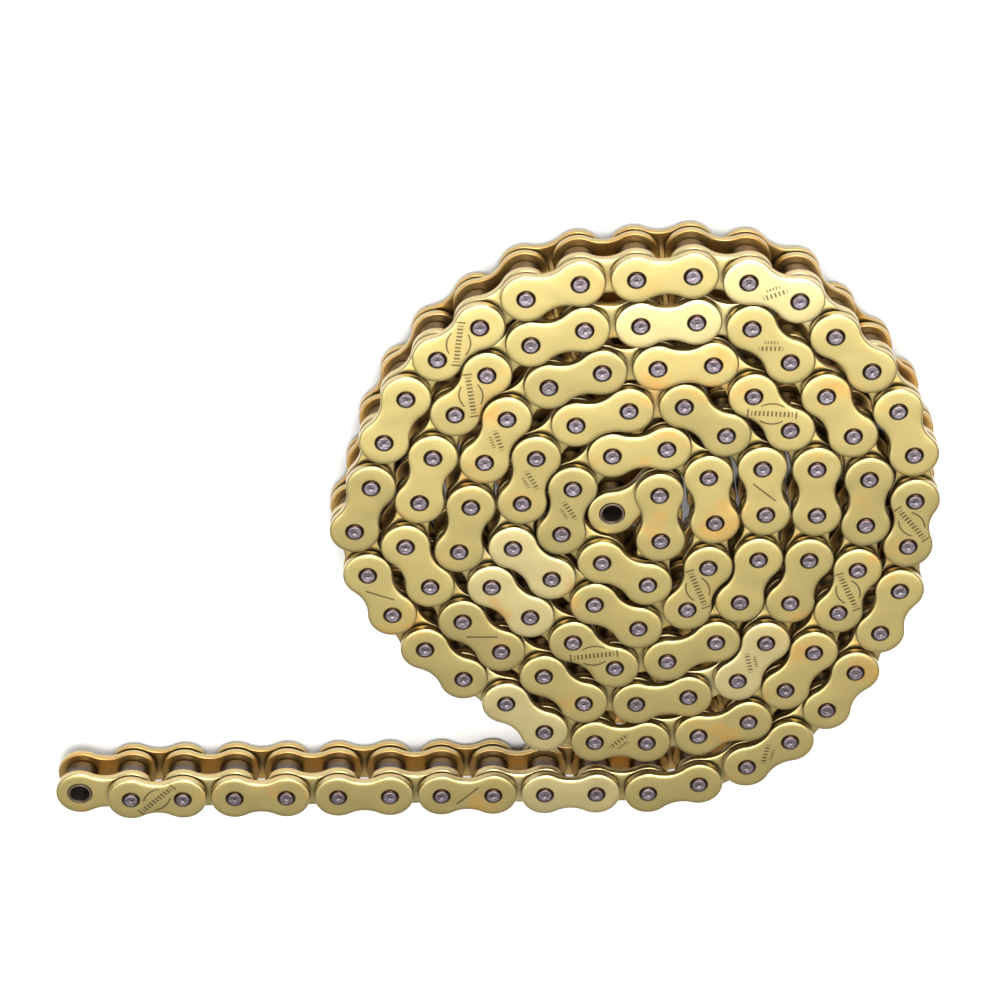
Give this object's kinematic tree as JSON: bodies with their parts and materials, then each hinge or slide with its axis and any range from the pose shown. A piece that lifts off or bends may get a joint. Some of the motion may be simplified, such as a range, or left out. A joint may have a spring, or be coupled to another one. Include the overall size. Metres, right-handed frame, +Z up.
{
  "type": "motorcycle drive chain",
  "caption": "Sealed roller chain for a motorcycle, wound flat into a tight coil with a straight tail; gold plates, steel pins and rollers, an open bush bore at each end.",
  "frame": {"origin": "on the floor under the middle of the bounding box of the coil and its tail", "axes": "+Z up, along the pins; -X along the tail towards its free end; the chain lies on its side"},
  "size_m": [0.2646, 0.1962, 0.0211],
  "materials": {
    "gold_plate": "satin gold plating on pressed steel side plates",
    "pin_steel": "bright ground steel with riveted heads",
    "bush_steel": "dark oiled steel",
    "roller_steel": "dark polished steel",
    "seal_rubber": "black rubber"
  },
  "bodies": {
    "coil": {"core_link_frame": "gold_plate", "coil_stretch_1": "gold_plate", "coil_stretch_2": "gold_plate", "coil_stretch_3": "gold_plate", "coil_stretch_4": "gold_plate", "coil_stretch_5": "gold_plate", "coil_stretch_6": "gold_plate", "coil_stretch_7": "gold_plate"},
    "core_link_roller_1": {"core_link_roller_1": "roller_steel"},
    "core_link_roller_2": {"core_link_roller_2": "roller_steel"},
    "tail_link_8": {"tail_link_8_frame": "gold_plate"},
    "tail_link_7": {"tail_link_7_frame": "gold_plate"},
    "tail_link_6": {"tail_link_6_frame": "gold_plate"},
    "tail_link_5": {"tail_link_5_frame": "gold_plate"},
    "tail_link_4": {"tail_link_4_frame": "gold_plate"},
    "tail_link_3": {"tail_link_3_frame": "gold_plate"},
    "tail_link_2": {"tail_link_2_plate_low": "gold_plate", "tail_link_2_plate_high": "gold_plate", "tail_link_2_pin_1": "pin_steel", "tail_link_2_pin_2": "pin_steel", "tail_link_2_seal_1_low": "seal_rubber", "tail_link_2_seal_1_high": "seal_rubber", "tail_link_2_seal_2_low": "seal_rubber", "tail_link_2_seal_2_high": "seal_rubber"},
    "tail_link_1": {"tail_link_1_plate_low": "gold_plate", "tail_link_1_plate_high": "gold_plate", "tail_link_1_bush_1": "bush_steel", "tail_link_1_bush_2": "bush_steel"},
    "tail_link_7_roller_1": {"tail_link_7_roller_1": "roller_steel"},
    "tail_link_7_roller_2": {"tail_link_7_roller_2": "roller_steel"},
    "tail_link_5_roller_1": {"tail_link_5_roller_1": "roller_steel"},
    "tail_link_5_roller_2": {"tail_link_5_roller_2": "roller_steel"},
    "tail_link_3_roller_1": {"tail_link_3_roller_1": "roller_steel"},
    "tail_link_3_roller_2": {"tail_link_3_roller_2": "roller_steel"},
    "tail_link_1_roller_1": {"tail_link_1_roller_1": "roller_steel"},
    "tail_link_1_roller_2": {"tail_link_1_roller_2": "roller_steel"}
  },
  "joints": [
    {"name": "core_link_roller_1_spin", "type": "hinge", "parent": "coil", "child": "core_link_roller_1", "pos_m": [0.03672, 0.00963, 0.01057], "axis": [0, 0, 1], "continuous": true},
    {"name": "core_link_roller_2_spin", "type": "hinge", "parent": "coil", "child": "core_link_roller_2", "pos_m": [0.05022, 0.01799, 0.01057], "axis": [0, 0, 1], "continuous": true},
    {"name": "tail_link_8_hinge", "type": "hinge", "parent": "coil", "child": "tail_link_8", "pos_m": [0.00201, -0.09074, 0.01057], "axis": [0, 0, -1], "range_deg": [-120, 55]},
    {"name": "tail_link_7_hinge", "type": "hinge", "parent": "tail_link_8", "child": "tail_link_7", "pos_m": [-0.01386, -0.09074, 0.01057], "axis": [0, 0, 1], "range_deg": [-65, 120]},
    {"name": "tail_link_6_hinge", "type": "hinge", "parent": "tail_link_7", "child": "tail_link_6", "pos_m": [-0.02974, -0.09074, 0.01057], "axis": [0, 0, -1], "range_deg": [-120, 75]},
    {"name": "tail_link_5_hinge", "type": "hinge", "parent": "tail_link_6", "child": "tail_link_5", "pos_m": [-0.04561, -0.09074, 0.01057], "axis": [0, 0, 1], "range_deg": [-86, 120]},
    {"name": "tail_link_4_hinge", "type": "hinge", "parent": "tail_link_5", "child": "tail_link_4", "pos_m": [-0.06149, -0.09074, 0.01057], "axis": [0, 0, -1], "range_deg": [-120, 108]},
    {"name": "tail_link_3_hinge", "type": "hinge", "parent": "tail_link_4", "child": "tail_link_3", "pos_m": [-0.07736, -0.09074, 0.01057], "axis": [0, 0, 1], "range_deg": [-120, 120]},
    {"name": "tail_link_2_hinge", "type": "hinge", "parent": "tail_link_3", "child": "tail_link_2", "pos_m": [-0.09324, -0.09074, 0.01057], "axis": [0, 0, -1], "range_deg": [-120, 120]},
    {"name": "tail_link_1_hinge", "type": "hinge", "parent": "tail_link_2", "child": "tail_link_1", "pos_m": [-0.10911, -0.09074, 0.01057], "axis": [0, 0, 1], "range_deg": [-120, 120]},
    {"name": "tail_link_7_roller_1_spin", "type": "hinge", "parent": "tail_link_7", "child": "tail_link_7_roller_1", "pos_m": [-0.01386, -0.09074, 0.01057], "axis": [0, 0, 1], "continuous": true},
    {"name": "tail_link_7_roller_2_spin", "type": "hinge", "parent": "tail_link_7", "child": "tail_link_7_roller_2", "pos_m": [-0.02974, -0.09074, 0.01057], "axis": [0, 0, 1], "continuous": true},
    {"name": "tail_link_5_roller_1_spin", "type": "hinge", "parent": "tail_link_5", "child": "tail_link_5_roller_1", "pos_m": [-0.04561, -0.09074, 0.01057], "axis": [0, 0, 1], "continuous": true},
    {"name": "tail_link_5_roller_2_spin", "type": "hinge", "parent": "tail_link_5", "child": "tail_link_5_roller_2", "pos_m": [-0.06149, -0.09074, 0.01057], "axis": [0, 0, 1], "continuous": true},
    {"name": "tail_link_3_roller_1_spin", "type": "hinge", "parent": "tail_link_3", "child": "tail_link_3_roller_1", "pos_m": [-0.07736, -0.09074, 0.01057], "axis": [0, 0, 1], "continuous": true},
    {"name": "tail_link_3_roller_2_spin", "type": "hinge", "parent": "tail_link_3", "child": "tail_link_3_roller_2", "pos_m": [-0.09324, -0.09074, 0.01057], "axis": [0, 0, 1], "continuous": true},
    {"name": "tail_link_1_roller_1_spin", "type": "hinge", "parent": "tail_link_1", "child": "tail_link_1_roller_1", "pos_m": [-0.10911, -0.09074, 0.01057], "axis": [0, 0, 1], "continuous": true},
    {"name": "tail_link_1_roller_2_spin", "type": "hinge", "parent": "tail_link_1", "child": "tail_link_1_roller_2", "pos_m": [-0.12499, -0.09074, 0.01057], "axis": [0, 0, 1], "continuous": true}
  ]
}
